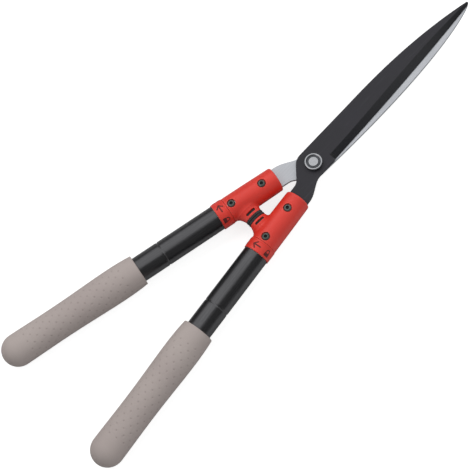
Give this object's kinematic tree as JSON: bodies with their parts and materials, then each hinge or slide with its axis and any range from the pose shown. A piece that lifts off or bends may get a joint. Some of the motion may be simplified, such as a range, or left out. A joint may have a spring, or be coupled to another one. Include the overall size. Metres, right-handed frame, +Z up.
{
  "type": "hedge shears",
  "caption": "Long-handled hedge shears: straight blades that cross on a pivot, red housings with rubber stops, and gripped tubes that slide out and are held by twist collars.",
  "frame": {"origin": "middle of the flat top of the pivot cap, on the pivot's axis", "axes": "+X along the middle line between the handles, from the grips towards the blade tips; +Y towards the left handle; +Z up along the pivot's axis, out of the cap"},
  "size_m": [0.699, 0.2008, 0.0417],
  "materials": {
    "coated_steel": "satin black non-stick coating with a darker ground bevel",
    "satin_steel": "fine satin, with a brighter ground bevel",
    "cap_chrome": "bright turned cap with a raised rim",
    "zinc_steel": "zinc plated",
    "black_rubber": "matt moulded rubber",
    "red_plastic": "satin moulded plastic",
    "black_screw": "black oxide",
    "tube_aluminium": "drawn tube, clear anodised",
    "pale_plastic": "unpainted moulded plastic",
    "black_tube": "satin black enamel",
    "grey_grip": "soft grey rubber with rows of small dimples"
  },
  "bodies": {
    "black_side": {"black_blade": "coated_steel", "pivot_cap": "cap_chrome", "pivot_bolt": "zinc_steel", "pivot_washer": "zinc_steel", "pivot_spring_washer": "zinc_steel", "pivot_nut": "zinc_steel", "right_bumper": "black_rubber", "right_housing": "red_plastic", "right_front_screw": "black_screw", "right_rear_screw": "black_screw", "right_front_nut": "zinc_steel", "right_rear_nut": "zinc_steel", "right_tang_sleeve": "pale_plastic", "right_inner_tube": "tube_aluminium", "right_end_bush": "pale_plastic"},
    "silver_side": {"silver_blade": "satin_steel", "left_bumper": "black_rubber", "left_housing": "red_plastic", "left_front_screw": "black_screw", "left_rear_screw": "black_screw", "left_front_nut": "zinc_steel", "left_rear_nut": "zinc_steel", "left_tang_sleeve": "pale_plastic", "left_inner_tube": "tube_aluminium", "left_end_bush": "pale_plastic"},
    "left_handle": {"left_outer_tube": "black_tube", "left_collet": "pale_plastic", "left_end_plug": "pale_plastic", "left_grip": "grey_grip"},
    "right_handle": {"right_outer_tube": "black_tube", "right_collet": "pale_plastic", "right_end_plug": "pale_plastic", "right_grip": "grey_grip"},
    "left_lock": {"left_lock_collar": "red_plastic"},
    "right_lock": {"right_lock_collar": "red_plastic"}
  },
  "joints": [
    {"name": "blade_pivot", "type": "hinge", "parent": "black_side", "child": "silver_side", "pos_m": [0, 0, -0.00905], "axis": [0, 0, -1], "range_deg": [0, 65]},
    {"name": "left_slide", "type": "slide", "parent": "silver_side", "child": "left_handle", "axis": [-0.9852, 0.1712, 0], "range_m": [0, 0.185]},
    {"name": "right_slide", "type": "slide", "parent": "black_side", "child": "right_handle", "axis": [-0.9852, -0.1712, 0], "range_m": [0, 0.185]},
    {"name": "left_lock_turn", "type": "hinge", "parent": "left_handle", "child": "left_lock", "pos_m": [-0.11912, 0.03177, -0.00905], "axis": [-0.9852, 0.1712, 0], "range_deg": [0, 90]},
    {"name": "right_lock_turn", "type": "hinge", "parent": "right_handle", "child": "right_lock", "pos_m": [-0.11912, -0.03177, -0.00905], "axis": [0.9852, 0.1712, 0], "range_deg": [0, 90]}
  ]
}
